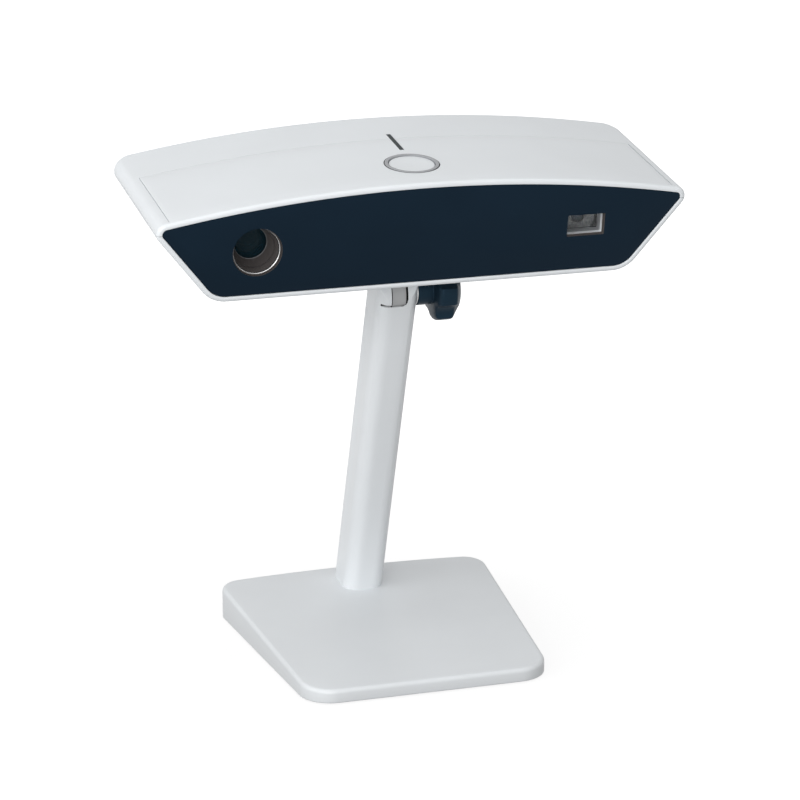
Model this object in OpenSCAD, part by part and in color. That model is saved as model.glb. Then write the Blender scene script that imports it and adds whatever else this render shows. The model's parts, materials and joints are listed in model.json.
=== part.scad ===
// Desktop structured-light scanner: a wide head on a leaning column and a wedge base.
// Millimetres. X to the right, Y to the back, Z up, desk plane at Z = 0.

/* [Base] */
// Width of the base along its rear edge
base_rear_w = 178; // [170:1:200]
// Width of the base along its front edge
base_front_w = 152; // [140:1:170]
// Front to rear depth of the base
base_d = 176; // [168:1:196]
// Height of the base at its rear edge
base_rear_h = 21.8; // [20:0.2:26]
// Height of the base at its front edge
base_front_h = 9.4; // [9:0.2:12]
// How far the rear edge bows out
rear_bow = 5; // [3:0.5:8]
// Plan radius of the two front corners
front_corner_r = 20; // [14:1:26]
// Plan radius of the two rear corners
rear_corner_r = 14; // [10:1:18]
// Wall thickness of the base shell
base_wall = 3; // [2.4:0.2:3.6]
// Thickness of the grip pad under the base
pad_t = 1; // [0.8:0.1:1.6]
// Thickness of the bottom cover
cover_t = 2; // [1.6:0.2:2.4]
// Height of the ballast plate
weight_h = 8; // [6:0.5:8.5]

/* [Column] */
// Column width across
col_w = 26; // [25:0.5:30]
// Column depth, square to its length
col_d = 31; // [30:0.5:34]
// Radius of the four long column edges
col_r = 9; // [6:0.5:10]
// Distance of the foot centre from the rear edge
foot_setback = 23.5; // [22:0.5:30]
// Height of the tilt axis over the desk
hinge_z = 229; // [215:1:250]
// Tilt axis behind the middle of the base
hinge_y = -8; // [-14:1:4]
// Wall of the hollow column
col_wall = 6; // [5:0.5:6.5]

/* [Tilt joint] */
// Width of the head tongue
tongue_w = 9.2; // [8:0.2:10]
// Thickness of each friction washer
washer_t = 0.5; // [0.4:0.1:0.8]
// Shank diameter of the pivot bolt
bolt_d = 6; // [5:0.5:7]
// Thickness of the front lip of the seat
seat_lip = 0.7; // [0.6:0.1:1.2]
// Gap between tongue and seat
seat_gap = 0.7; // [0.5:0.1:1.2]
// Running clearance of the pivot on the radius
running_fit = 0.05; // [0.03:0.01:0.09]
// Largest radius of the clamp knob
knob_r = 19.5; // [17:0.5:22]
// Radius of the knob neck
knob_neck_r = 9.4; // [8.4:0.2:10.4]
// Number of grip flutes on the knob
knob_flutes = 5; // [4:1:7]

/* [Head] */
// Width of the head from tip to tip
head_w = 320; // [310:1:340]
// Depth of the head, front to rear
head_d = 117; // [112:1:130]
// Underside of the head above the tilt axis
head_bottom = 25.7; // [24:0.5:30]
// Height of the side tips above the tilt axis
tip_z = 70; // [68:0.5:74]
// Crown of the arched top above the tilt axis
crown_z = 91.2; // [90:0.5:96]
// Radius of the arched top
arch_r = 848; // [800:4:960]
// Front plane ahead of the tilt axis
front_y = 60; // [57:0.5:64]
// Forward lean of the whole head
head_pitch = 7; // [2:0.5:10]
// Extra forward lean of the front plane
front_lean = 3; // [1:0.5:4]
// Slope of the lower side faces
side_angle = 52; // [50:0.5:54]
// Radius of the lower side corners
low_corner_r = 18; // [14:1:20]
// Wall thickness of the head shells
head_wall = 3.3; // [3:0.1:3.6]
// Thickness of the dark front panel
panel_t = 3; // [2.4:0.2:3.4]
// Thickness of the inset top cover
top_cover_t = 2; // [1.6:0.1:2.2]

/* [Optics] */
// Distance from the left tip to the camera axis
camera_inset = 59.5; // [57:0.5:62]
// Distance from the right tip to the projector axis
projector_inset = 61.2; // [59:0.2:63]
// Projector axis below the side tips
optics_drop = 13; // [12:0.2:14]
// Camera axis below the side tips
camera_drop = 14.6; // [14:0.2:15.6]
// Outer radius of the camera ring
ring_r = 14.7; // [14.1:0.2:15.5]
// Width of the projector window
window_w = 23; // [21:0.5:25]
// Height of the projector window
window_h = 13.3; // [12:0.1:15]

/* [Button and light] */
// Outer radius of the button surround
surround_r = 16.4; // [15.4:0.2:17.4]
// Radius of the push button
button_r = 13.4; // [12.4:0.1:13.8]
// Button travel
button_travel = 1; // [0.6:0.1:1.2]
// Button axis behind the front tips
button_back = 32.5; // [30:0.5:36]
// Length of the status light
light_l = 28; // [24:0.5:30]
// Width of the status light
light_w = 2.4; // [2:0.1:3]
// Status light to the right of the middle
light_x = 1.5; // [-3:0.5:3]

/* [Node] */
// Sub-part to show

/* [Hidden] */
$fn = 72;
eps = 0.01;
clear = 5;
big = 600;

// base values
top_slope = atan((base_rear_h - base_front_h) / base_d);
taper = atan((base_rear_w - base_front_w) / (2 * base_d));
bow_r = (pow(base_rear_w / 2, 2) + pow(rear_bow, 2)) / (2 * rear_bow);
bow_y = base_d / 2 - bow_r;
base_bottom = pad_t;
cover_top = base_bottom + cover_t;
foot_y = base_d / 2 - foot_setback;
foot_z = base_front_h + (foot_y + base_d / 2) * tan(top_slope);
weight_side = 17;
weight_rear = 4;
weight_y0 = 0;
weight_y1 = base_d / 2 - rear_bow - base_wall - weight_rear;
weight_w = base_front_w - 2 * weight_side;
weight_top = cover_top + weight_h;
screw_side = 16;
screw_front = 34;
screw_rear = 14;
screw_x = base_front_w / 2 - screw_side;
screw_y0 = screw_front - base_d / 2;
screw_y1 = base_d / 2 - rear_bow - screw_rear;
screw_r = 1.5;
screw_head_r = 2.8;
screw_head_h = 1;
screw_grip = 3;
screw_tip_gap = 0.4;
boss_r = 4;
boss_gap = 0.5;
pad_margin = 6;

// column values
lean = atan((foot_y - hinge_y) / (hinge_z - foot_z));
seat_r = col_d / 2 - seat_lip;
seat_ledge = 0.8;
slot_corner_r = 4;
tongue_r = seat_r - seat_gap;
neck_step_in = 3;
tongue_neck = tongue_r - neck_step_in;
col_len = (hinge_z - foot_z) / cos(lean) + 30;
hollow_top = -30;
hollow_w = col_w - 2 * col_wall;
hollow_d = col_d - 2 * col_wall;
hollow_r = 2.5;
block_h = 28;
bolt_front = 6;
bolt_rear = 3;
stud_r = 2.5;
stud_head_r = 4.2;
stud_head_h = 4;
stud_top = foot_z + 10;
stud_y = [foot_y - bolt_front, foot_y + bolt_rear];

// tilt joint values along X
side_play = 0.05;
tongue_x0 = -4.4;
tongue_x1 = tongue_x0 + tongue_w;
cheek_x0 = tongue_x0 - side_play - washer_t;
cheek_x1 = tongue_x1 + side_play + washer_t;
col_x = col_w / 2;
bolt_r = bolt_d / 2;
washer_r = 12.5;
cap_r = 9;
cap_t = 1.6;
bolt_head_r = 5.5;
bolt_head_h = 3.6;
bolt_head_x = -col_x + cap_t;
knob_washer_t = 0.9;
knob_play = 0.15;
knob_x0 = col_x + knob_washer_t + knob_play;
knob_neck_l = 9.5;
knob_face_l = 2.9;
knob_rim_l = 8.6;
knob_end_l = 4.3;
knob_x1 = knob_x0 + knob_neck_l;
knob_x2 = knob_x1 + knob_face_l;
knob_x3 = knob_x2 + knob_rim_l;
knob_x4 = knob_x3 + knob_end_l;
knob_end_r = 0.67 * knob_r;
knob_edge = 1.2;
flute_r = 0.5 * knob_r;
flute_depth = 0.2 * knob_r;
flute_at = knob_r - flute_depth + flute_r;
flute_turn = 38.5;
insert_r = bolt_r + 2;
insert_l = 18;
pin_r = 1.5;
pin_l = 12;
pin_in = 4;
pin_x = cheek_x0 - pin_in;
bolt_short = 2;
insert_floor = 1.5;
neck_step = 0.5;

// head values, measured from the tilt axis in the head frame
half_w = head_w / 2;
tip_drop = 1.6;
camera_x = half_w - camera_inset;
projector_x = half_w - projector_inset;
rear_y = head_d - front_y;
tip_h = tip_z - head_bottom;
low_x = half_w - (tip_h - tip_drop) / tan(side_angle);
corner_cx = low_x - low_corner_r * tan(side_angle / 2);
corner_cz = head_bottom + low_corner_r;
floor_z = head_bottom + head_wall;
crown_cz = crown_z - arch_r;
rear_plan_r = 10;
panel_back = 0.6;
flange_w = 64;
flange_d = 44;
flange_t = 4;
flange_top = floor_z + flange_t;
flange_hole_in = 8;
flange_hole_x = flange_w / 2 - flange_hole_in;
flange_hole_y = flange_d / 2 - flange_hole_in;
flange_screw_r = 2;
flange_head_r = 3.6;
flange_head_h = 2.4;
flange_screw_in = 1.2;
bench_lift = 10;
bench_t = 3;
bench_d = 40;
bench_back = 17;
bench_post_in = 6;
bench_side = 40;
bench_z = floor_z + bench_lift;
bench_top = bench_z + bench_t;
bench_w = head_w - 2 * bench_side;
bench_y0 = bench_back - front_y;
bench_y1 = bench_y0 + bench_d;
bench_post_side = 20;
bench_post_x = bench_w / 2 - bench_post_side;
bench_post_y = [bench_y0 + bench_post_in, bench_y1 - bench_post_in];
post_r = 3;
axis_z = tip_z - optics_drop;
axis_front = -front_y + optics_drop * sin(front_lean);
camera_z = tip_z - camera_drop;
camera_front = -front_y + camera_drop * sin(front_lean);
ring_depth = 9;
ring_wall = 2;
barrel_r = 12;
barrel_l = 30;
glass_r = 9.6;
glass_t = 2;
glass_back = 8;
holder_w = 32;
holder_l = 15;
holder_back = 9;
holder_rim = 1.5;
barrel_floor = 3;
barrel_step = 3;
board_margin = 3;
board_t = 1.6;
camera_board_w = 32;
engine_w = 48;
engine_l = 50;
engine_back = 22;
engine_rise = 2;
engine_y0 = axis_front + engine_back;
engine_top = tip_z + engine_rise;
plens_r = 10;
plens_rim = 2;
plens_cup = 3;
bezel_wall = 0.8;
bezel_l = 12;
wglass_t = 1.4;
plens_gap = 2;
plens_y0 = axis_front + bezel_l + plens_gap;
sink_w = 40;
sink_base_t = 3;
sink_fins = 8;
sink_fin_t = 1.4;
sink_rise = 4;
sink_rear_gap = 18;
boss_side_rear = 56;
boss_x_rear = half_w - boss_side_rear;
fan_x = 50;
fan_size = 40;
board_boss_gap = 14;
board_fan_gap = 10;
board_d = 26.2;
board_lift = 14;
board_rear_gap = 3.5;
board_post_in = 5;
main_x0 = board_boss_gap - boss_x_rear;
main_x1 = fan_x - fan_size / 2 - board_fan_gap;
main_y1 = rear_y - head_wall - board_rear_gap;
main_y0 = main_y1 - board_d;
main_z = floor_z + board_lift;
main_top = main_z + board_t;
main_post_x = [main_x0 + board_post_in, main_x1 - board_post_in];
main_post_y = [main_y0 + board_post_in, main_y1 - board_post_in];
chip_w = 14;
chip_t = 1.6;
coil_w = 6;
coil_t = 2.4;
chip_x = main_x0 + chip_w;
chip_y = main_y0 + 0.35 * chip_w;
coil_gap = 36;
coil_x = chip_x + chip_w + coil_gap;
socket_y1 = rear_y - 0.6;
power_x = -44;
power_w = 12;
power_h = 11;
power_l = 13;
jack_r = 3.2;
jack_pin_r = 1;
jack_floor = 2;
pin_sink = 2;
usb_x = -14;
usb_w = 12;
usb_h = 11;
usb_l = 16;
usb_wall = 1.2;
usb_tongue_w = 5.6;
usb_tongue_h = 3.2;
fan_t = 10;
fan_lift = 0.4;
fan_z = floor_z + fan_size / 2 + fan_lift;
fan_y1 = rear_y - head_wall;
fan_y0 = fan_y1 - fan_t;
fan_bore_r = 18.8;
fan_tip_r = 18.2;
fan_hub_r = 9;
fan_pin_r = 1.2;
fan_strut_t = 1.6;
fan_strut_w = 2.4;
fan_gap = 0.6;
fan_blades = 7;
blade_t = 1;
blade_pitch = 35;
vent_w = 2.4;
vent_pitch = 4.6;
vent_h = 32;
vent_n = 9;
intake_x = -112;
intake_n = 7;
intake_h = 20;
boss_side_front = 98;
boss_rear_gap = 13;
boss_x_front = half_w - boss_side_front;
boss_y_front = (bench_y0 + bench_y1) / 2;
boss_y_rear = rear_y - boss_rear_gap;
boss_hole_gap = 0.6;
shell_boss_r = 5;
shell_screw_r = 1.5;
shell_head_r = 3.2;
shell_head_in = 1.4;
shell_head_z = head_bottom + shell_head_in;
shell_head_h = 2.6;
shell_screw_grip = 9;
shell_screw_top = tip_z + shell_screw_grip;
upper_boss_r = 4;

// top cover, button and light
cover_front_gap = 3;
cover_depth = 73.5;
cover_side_gap = 8;
top_y0 = cover_front_gap - front_y;
top_y1 = top_y0 + cover_depth;
top_half_w = half_w - cover_side_gap;
button_y = button_back - front_y;
button_gap = 0.3;
surround_proud = 0.4;
cup_inner_r = button_r + button_gap;
cup_floor_t = 1.5;
cup_depth = 11;
cup_floor_z = crown_z - cup_depth;
button_sink = 0.3;
button_top = crown_z - button_sink;
button_t = 3;
stem_root = 1;
stem_r = 3;
stem_gap = 0.4;
stem_lift = 0.4;
stem_end = cup_floor_z + stem_lift;
switch_w = 22;
switch_t = 4.2;
switch_well_r = 5;
switch_gap = 0.1;
switch_top = stem_end - button_travel - switch_gap;
light_gap = 7.4;
light_y0 = button_y + surround_r + light_gap;
light_depth = 6;
light_sink = 0.2;

// ---------- shared shapes ----------

// half width of the base at a depth, set in square to the side edge
function base_half_w(y, inset) =
  base_front_w / 2 + (y + base_d / 2) * tan(taper) - inset / cos(taper);

// plan outline of the base, set in by a margin
module base_plan(inset) {
  y0 = -base_d / 2;
  fr = front_corner_r - inset;
  rr = rear_corner_r - inset;
  side = [cos(taper), -sin(taper)];
  front_c = [base_half_w(y0 + front_corner_r, front_corner_r), y0 + front_corner_r];
  rear_x = base_half_w(base_d / 2 - rear_bow - rear_corner_r, rear_corner_r);
  rear_reach = sqrt(pow(bow_r - rear_corner_r, 2) - rear_x * rear_x);
  rear_c = [rear_x, bow_y + rear_reach];
  rear_dir = [rear_x, rear_reach] / (bow_r - rear_corner_r);
  front_side = front_c + fr * side;
  rear_side = rear_c + rr * side;
  rear_tip = [0, bow_y] + (bow_r - inset) * rear_dir;
  intersection() {
    union() {
      polygon([
        [-front_c[0], y0 + inset], [front_c[0], y0 + inset], front_side, rear_side, rear_tip,
        [rear_tip[0], base_d], [-rear_tip[0], base_d], [-rear_tip[0], rear_tip[1]],
        [-rear_side[0], rear_side[1]], [-front_side[0], front_side[1]]
      ]);
      for (s = [-1, 1]) {
        translate([s * front_c[0], front_c[1]]) circle(r = fr);
        translate([s * rear_c[0], rear_c[1]]) circle(r = rr);
      }
    }
    translate([0, bow_y]) circle(r = bow_r - inset, $fn = 360);
  }
}

// everything under the sloping top face, lowered by a drop
module under_top(drop) {
  translate([0, -base_d / 2, base_front_h - drop])
    rotate([top_slope, 0, 0])
      translate([-big / 2, -big / 2, -big])
        cube([big, big, big]);
}

// upright bar section of the column
module col_section(w, d, r) {
  square([w - 2 * r, d], center = true);
  square([w, d - 2 * r], center = true);
  for (x = [-1, 1], y = [-1, 1])
    translate([x * (w / 2 - r), y * (d / 2 - r)]) circle(r = r);
}

// tilt axis frames: the column leans by its own angle, the head by the head pitch
module at_column() {
  translate([0, hinge_y, hinge_z]) rotate([lean, 0, 0]) children();
}
module at_head() {
  translate([0, hinge_y, hinge_z]) rotate([head_pitch, 0, 0]) children();
}

// round bar along X between two X values
module bar_x(x0, x1, r) {
  translate([x0, 0, 0]) rotate([0, 90, 0]) cylinder(r = r, h = x1 - x0);
}
// round bar along Y between two Y values
module bar_y(y0, y1, r) {
  translate([0, y0, 0]) rotate([-90, 0, 0]) cylinder(r = r, h = y1 - y0);
}

// front outline of the head, set in by a margin
module head_outline(inset) {
  r = low_corner_r - inset;
  bx = corner_cx;
  sx = corner_cx + r * sin(side_angle);
  sz = corner_cz - r * cos(side_angle);
  tx = half_w - inset;
  tz = head_bottom + (tx - low_x) * tan(side_angle) + inset / cos(side_angle);
  intersection() {
    union() {
      polygon([
        [-bx, head_bottom + inset], [bx, head_bottom + inset], [sx, sz], [tx, tz], [tx, crown_z + clear],
        [-tx, crown_z + clear], [-tx, tz], [-sx, sz]
      ]);
      for (s = [-1, 1]) translate([s * corner_cx, corner_cz]) circle(r = r);
    }
    translate([0, crown_cz]) circle(r = arch_r - inset, $fn = 720);
  }
}

// head outline run along Y
module head_prism(inset, y0, y1) {
  translate([0, y1, 0]) rotate([90, 0, 0]) linear_extrude(height = y1 - y0) head_outline(inset);
}

// everything behind the leaning front plane, moved back by a distance
module behind_front(back) {
  translate([0, -front_y, tip_z]) rotate([front_lean, 0, 0])
    translate([-big / 2, back, -big / 2]) cube([big, big, big]);
}

// plan limit of the head with rounded rear corners
module head_plan(inset) {
  r = rear_plan_r - inset;
  translate([0, 0, -big / 2]) linear_extrude(height = big) {
    translate([-half_w + inset, -big]) square([head_w - 2 * inset, big + rear_y - rear_plan_r]);
    translate([-half_w + rear_plan_r, 0]) square([head_w - 2 * rear_plan_r, rear_y - inset]);
    for (s = [-1, 1])
      translate([s * (half_w - rear_plan_r), rear_y - rear_plan_r]) circle(r = r);
  }
}

// hollow head body before it is split into two shells
module head_body() {
  difference() {
    intersection() {
      head_prism(0, -front_y - 6, rear_y);
      behind_front(0);
      head_plan(0);
    }
    intersection() {
      head_prism(head_wall, -front_y - 7, rear_y - head_wall);
      head_plan(head_wall);
    }
  }
}

module boss_spots() {
  for (s = [-1, 1]) {
    translate([s * boss_x_front, boss_y_front, 0]) children();
    translate([s * boss_x_rear, boss_y_rear, 0]) children();
  }
}

// box between two corners
module box(a, b) {
  translate(a) cube([b[0] - a[0], b[1] - a[1], b[2] - a[2]]);
}

// ---------- stand ----------

module base_screw_spots() {
  for (x = [-screw_x, screw_x], y = [screw_y0, screw_y1]) translate([x, y, 0]) children();
}

module base_shell() {
  color("gainsboro") difference() {
    intersection() {
      translate([0, 0, base_bottom]) linear_extrude(height = base_rear_h) base_plan(0);
      under_top(0);
    }
    difference() {
      intersection() {
        translate([0, 0, base_bottom - 1]) linear_extrude(height = base_rear_h) base_plan(base_wall);
        under_top(base_wall);
      }
      // screw pillars for the bottom cover
      base_screw_spots() translate([0, 0, cover_top]) cylinder(r = boss_r, h = big);
    }
    base_screw_spots() cylinder(r = screw_r, h = cover_top + screw_grip + screw_tip_gap);
    for (y = stud_y) translate([0, y, 0]) cylinder(r = stud_r, h = big / 4);
  }
}

module base_weight() {
  color("dimgray") difference() {
    box([-weight_w / 2, weight_y0, cover_top], [weight_w / 2, weight_y1, weight_top]);
    for (y = stud_y) translate([0, y, 0]) {
      cylinder(r = stud_r, h = big / 4);
      cylinder(r = stud_head_r, h = cover_top + stud_head_h);
    }
    base_screw_spots() cylinder(r = boss_r + boss_gap, h = big / 4);
  }
}

module base_cover() {
  color("darkgray") difference() {
    translate([0, 0, base_bottom]) linear_extrude(height = cover_t) base_plan(base_wall);
    base_screw_spots() {
      cylinder(r = screw_r, h = big / 4);
      cylinder(r = screw_head_r, h = base_bottom + screw_head_h);
    }
  }
}

module base_screws() {
  color("silver") base_screw_spots() {
    translate([0, 0, base_bottom]) cylinder(r = screw_head_r, h = screw_head_h);
    translate([0, 0, base_bottom]) cylinder(r = screw_r, h = cover_t + screw_grip);
  }
}

module grip_pad() {
  color("darkslategray") linear_extrude(height = pad_t) base_plan(pad_margin);
}

module column() {
  color("gainsboro") difference() {
    intersection() {
      at_column() intersection() {
        translate([0, 0, -col_len]) linear_extrude(height = col_len + seat_r)
          col_section(col_w, col_d, col_r);
        union() {
          translate([-big / 2, -big / 2, -big]) cube([big, big, big]);
          bar_x(-col_x, col_x, col_d / 2);
        }
      }
      difference() {
        translate([-big / 2, -big / 2, 0]) cube([big, big, big]);
        under_top(0);
      }
    }
    at_column() {
      // open seat for the tongue and the loose cheek
      bar_x(-col_w, cheek_x1, seat_r);
      difference() {
        box([-col_w, -col_d, -seat_ledge], [cheek_x1, col_d, col_d]);
        slot_corner();
      }
      bar_x(0, col_w, bolt_r);
      translate([0, 0, -col_len]) linear_extrude(height = col_len + hollow_top)
        col_section(hollow_w, hollow_d, hollow_r);
      translate([pin_x, 0, -seat_r - pin_l / 2]) cylinder(r = pin_r, h = pin_l);
    }
  }
}

// rounded lower corner that the lip leaves beside the tongue
module slot_corner() {
  difference() {
    box([cheek_x1 - slot_corner_r, -col_d, -col_d], [col_w, 0, slot_corner_r - seat_ledge]);
    translate([cheek_x1 - slot_corner_r, 0, slot_corner_r - seat_ledge])
      bar_y(-2 * col_d, col_d, slot_corner_r);
  }
}

module foot_block() {
  color("slategray") difference() {
    intersection() {
      at_column() translate([0, 0, -col_len]) linear_extrude(height = col_len + hollow_top)
        col_section(hollow_w, hollow_d, hollow_r);
      difference() {
        under_top(-block_h);
        under_top(0);
      }
    }
    for (y = stud_y) translate([0, y, 0]) cylinder(r = stud_r, h = stud_top);
  }
}

module column_bolts() {
  color("silver") for (y = stud_y) translate([0, y, cover_top]) {
    cylinder(r = stud_head_r, h = stud_head_h, $fn = 48);
    cylinder(r = stud_r, h = stud_top - cover_top);
  }
}

module clamp_cheek() {
  color("gainsboro") at_column() difference() {
    intersection() {
      translate([0, 0, -seat_r]) linear_extrude(height = seat_r + col_d) col_section(col_w, col_d, col_r);
      union() {
        bar_x(-col_x, cheek_x0, seat_r);
        intersection() {
          bar_x(-col_x, cheek_x0, col_d / 2);
          box([-col_w, -col_d, -seat_ledge], [cheek_x0, col_d, col_d]);
        }
      }
    }
    bar_x(-col_w, 0, bolt_r);
    bar_x(-col_w, bolt_head_x + bolt_head_h, bolt_head_r);
    bar_x(-col_w, bolt_head_x, cap_r);
    translate([pin_x, 0, -seat_r - pin_l / 2]) cylinder(r = pin_r, h = pin_l);
  }
}

module cheek_pin() {
  color("silver") at_column() translate([pin_x, 0, -seat_r - pin_l / 2])
    cylinder(r = pin_r, h = pin_l, $fn = 36);
}

module pivot_bolt() {
  color("silver") at_column() {
    bar_x(bolt_head_x, bolt_head_x + bolt_head_h, bolt_head_r);
    bar_x(bolt_head_x + eps, knob_x0 + insert_l - bolt_short, bolt_r);
  }
}

module pivot_cap() {
  color("gainsboro") at_column() intersection() {
    bar_x(-col_x, bolt_head_x, cap_r);
    translate([0, 0, -seat_r]) linear_extrude(height = 2 * seat_r) col_section(col_w, col_d, col_r);
  }
}

module friction_washers() {
  color("dimgray") at_column() difference() {
    union() {
      bar_x(cheek_x0, cheek_x0 + washer_t, washer_r);
      bar_x(cheek_x1 - washer_t, cheek_x1, washer_r);
    }
    bar_x(-col_w, col_w, bolt_r);
  }
}

module knob_washer() {
  color("silver") at_column() difference() {
    bar_x(col_x, col_x + knob_washer_t, knob_neck_r - neck_step);
    bar_x(0, 2 * col_w, bolt_r);
  }
}

// ---------- clamp knob ----------

module clamp_knob() {
  color("midnightblue") at_column() difference() {
    rotate([0, 90, 0]) rotate_extrude($fn = 120) polygon([
      [0, knob_x0], [knob_neck_r, knob_x0], [knob_neck_r, knob_x1],
      [knob_r - knob_edge, knob_x1 + knob_edge], [knob_r, knob_x2], [knob_r, knob_x3],
      [knob_end_r, knob_x4], [0, knob_x4]
    ]);
    for (i = [0 : knob_flutes - 1]) rotate([i * 360 / knob_flutes + flute_turn, 0, 0])
      translate([knob_x1 - neck_step, 0, flute_at])
        bar_x(0, knob_x4, flute_r);
    bar_x(0, knob_x0 + insert_l, insert_r);
  }
}

module knob_insert() {
  color("goldenrod") at_column() difference() {
    bar_x(knob_x0, knob_x0 + insert_l, insert_r);
    bar_x(0, knob_x0 + insert_l - insert_floor, bolt_r + running_fit);
  }
}

// ---------- head ----------

module flange_spots() {
  for (x = [-1, 1], y = [-1, 1]) translate([x * flange_hole_x, y * flange_hole_y, 0]) children();
}

// tongue that hangs from the head between the cheeks
module tongue_bar() {
  bar_x(tongue_x0, tongue_x1, tongue_r);
  box([tongue_x0, -tongue_neck, 0], [tongue_x1, tongue_neck, floor_z + flange_t / 2]);
}

module head_bracket() {
  color("silver") at_head() difference() {
    union() {
      tongue_bar();
      box([-flange_w / 2, -flange_d / 2, floor_z], [flange_w / 2, flange_d / 2, flange_top]);
    }
    bar_x(-col_w, col_w, bolt_r + running_fit);
    flange_spots() cylinder(r = flange_screw_r, h = big / 4);
  }
}

module bracket_screws() {
  color("silver") at_head() flange_spots() {
    translate([0, 0, head_bottom + flange_screw_in])
      cylinder(r = flange_screw_r, h = flange_top - head_bottom, $fn = 36);
    translate([0, 0, flange_top]) cylinder(r = flange_head_r, h = flange_head_h, $fn = 48);
  }
}

module vents(x, n, z0, h) {
  for (i = [0 : n - 1])
    box([x + (i - (n - 1) / 2) * vent_pitch - vent_w / 2, rear_y - head_wall - 1, z0],
        [x + (i - (n - 1) / 2) * vent_pitch + vent_w / 2, rear_y + 1, z0 + h]);
}

module lower_shell() {
  color("gainsboro") at_head() difference() {
    union() {
      intersection() {
        head_body();
        translate([-big / 2, -big / 2, tip_z - big]) cube([big, big, big]);
      }
      boss_spots() translate([0, 0, floor_z - 1]) cylinder(r = shell_boss_r, h = tip_z - floor_z + 1);
    }
    tongue_slot();
    flange_spots() translate([0, 0, head_bottom + flange_screw_in]) cylinder(r = flange_screw_r, h = floor_z);
    boss_spots() {
      translate([0, 0, 0]) cylinder(r = shell_screw_r, h = big / 4);
      translate([0, 0, 0]) cylinder(r = shell_head_r, h = shell_head_z + shell_head_h);
    }
    vents(fan_x, vent_n, fan_z - vent_h / 2, vent_h);
    vents(intake_x, intake_n, axis_z - intake_h / 2, intake_h);
    box([power_x - power_w / 2, 0, main_top], [power_x + power_w / 2, big, main_top + power_h]);
    box([usb_x - usb_w / 2, 0, main_top], [usb_x + usb_w / 2, big, main_top + usb_h]);
  }
}

module tongue_slot() {
  box([tongue_x0, -tongue_neck, 0], [tongue_x1, tongue_neck, floor_z + eps]);
}

// everything above the seat of the top cover
module top_recess() {
  difference() {
    box([-top_half_w, top_y0, tip_z], [top_half_w, top_y1, crown_z + clear]);
    head_prism(top_cover_t, top_y0 - 1, top_y1 + 1);
  }
}

module light_slot() {
  box([light_x - light_w / 2, light_y0, crown_z - light_depth],
      [light_x + light_w / 2, light_y0 + light_l, crown_z + clear]);
}

module upper_shell() {
  color("whitesmoke") at_head() difference() {
    union() {
      intersection() {
        head_body();
        translate([-big / 2, -big / 2, tip_z]) cube([big, big, big]);
      }
      upper_bosses();
    }
    top_recess();
    translate([0, button_y, 0]) cylinder(r = surround_r, h = big);
    light_slot();
    boss_spots() cylinder(r = shell_screw_r, h = shell_screw_top);
  }
}

// screw pillars that reach the arched roof from below
module upper_bosses() {
  intersection() {
    boss_spots() translate([0, 0, tip_z]) cylinder(r = upper_boss_r, h = crown_z);
    head_prism(head_wall / 2, -front_y, rear_y);
  }
}

module top_cover() {
  color("whitesmoke") at_head() difference() {
    intersection() {
      top_recess();
      head_prism(0, top_y0 - 1, top_y1 + 1);
    }
    translate([0, button_y, 0]) cylinder(r = surround_r, h = big);
    light_slot();
  }
}

module front_panel() {
  color("midnightblue") at_head() difference() {
    intersection() {
      head_prism(head_wall, -front_y - 6, rear_y);
      difference() {
        behind_front(panel_back);
        behind_front(panel_back + panel_t);
      }
    }
    translate([-camera_x, 0, camera_z]) bar_y(-big / 4, 0, ring_r);
    box([projector_x - window_w / 2, -big / 4, axis_z - window_h / 2],
        [projector_x + window_w / 2, 0, axis_z + window_h / 2]);
  }
}

module shell_screws() {
  color("silver") at_head() boss_spots() {
    translate([0, 0, shell_head_z]) cylinder(r = shell_head_r, h = shell_head_h, $fn = 48);
    translate([0, 0, shell_head_z]) cylinder(r = shell_screw_r, h = shell_screw_top - shell_head_z, $fn = 36);
  }
}

module bench_post_spots() {
  for (x = [-bench_post_x, bench_post_x], y = bench_post_y) translate([x, y, 0]) children();
}

module optical_bench() {
  color("lightsteelblue") at_head() difference() {
    box([-bench_w / 2, bench_y0, bench_z], [bench_w / 2, bench_y1, bench_top]);
    for (s = [-1, 1]) translate([s * boss_x_front, boss_y_front, 0])
      cylinder(r = shell_boss_r + boss_hole_gap, h = big / 4);
  }
}

module bench_posts() {
  color("goldenrod") at_head() bench_post_spots()
    translate([0, 0, floor_z]) cylinder(r = post_r, h = bench_z - floor_z, $fn = 36);
}

// ---------- camera ----------

module at_camera() {
  at_head() translate([-camera_x, camera_front, camera_z]) children();
}

module camera_holder() {
  color("slategray") at_camera() difference() {
    box([-holder_w / 2, ring_depth + holder_back, bench_top - camera_z],
        [holder_w / 2, ring_depth + holder_back + holder_l, barrel_r + holder_rim]);
    bar_y(0, big / 4, barrel_r);
  }
}

module camera_barrel() {
  color("dimgray") at_camera() difference() {
    bar_y(ring_depth, ring_depth + barrel_l, barrel_r);
    bar_y(0, ring_depth + glass_back + glass_t, glass_r);
    bar_y(0, ring_depth + barrel_l - barrel_floor, glass_r - barrel_step);
  }
}

module camera_board() {
  color("seagreen") at_camera() box(
    [-camera_board_w / 2, ring_depth + barrel_l, -camera_board_w / 2 + board_margin],
    [camera_board_w / 2, ring_depth + barrel_l + board_t, camera_board_w / 2 - board_margin]);
}

module lens_ring() {
  color("silver") at_camera() difference() {
    bar_y(panel_back - 1, ring_depth, ring_r);
    bar_y(-5, ring_depth + 1, ring_r - ring_wall);
  }
}

module lens_glass() {
  color("lightblue") at_camera() bar_y(ring_depth + glass_back, ring_depth + glass_back + glass_t, glass_r);
}

// ---------- projector ----------

module at_projector() {
  at_head() translate([projector_x, axis_front, axis_z]) children();
}

module projector_engine() {
  color("dimgray") at_head() box(
    [projector_x - engine_w / 2, engine_y0, bench_top],
    [projector_x + engine_w / 2, engine_y0 + engine_l, engine_top]);
}

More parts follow.
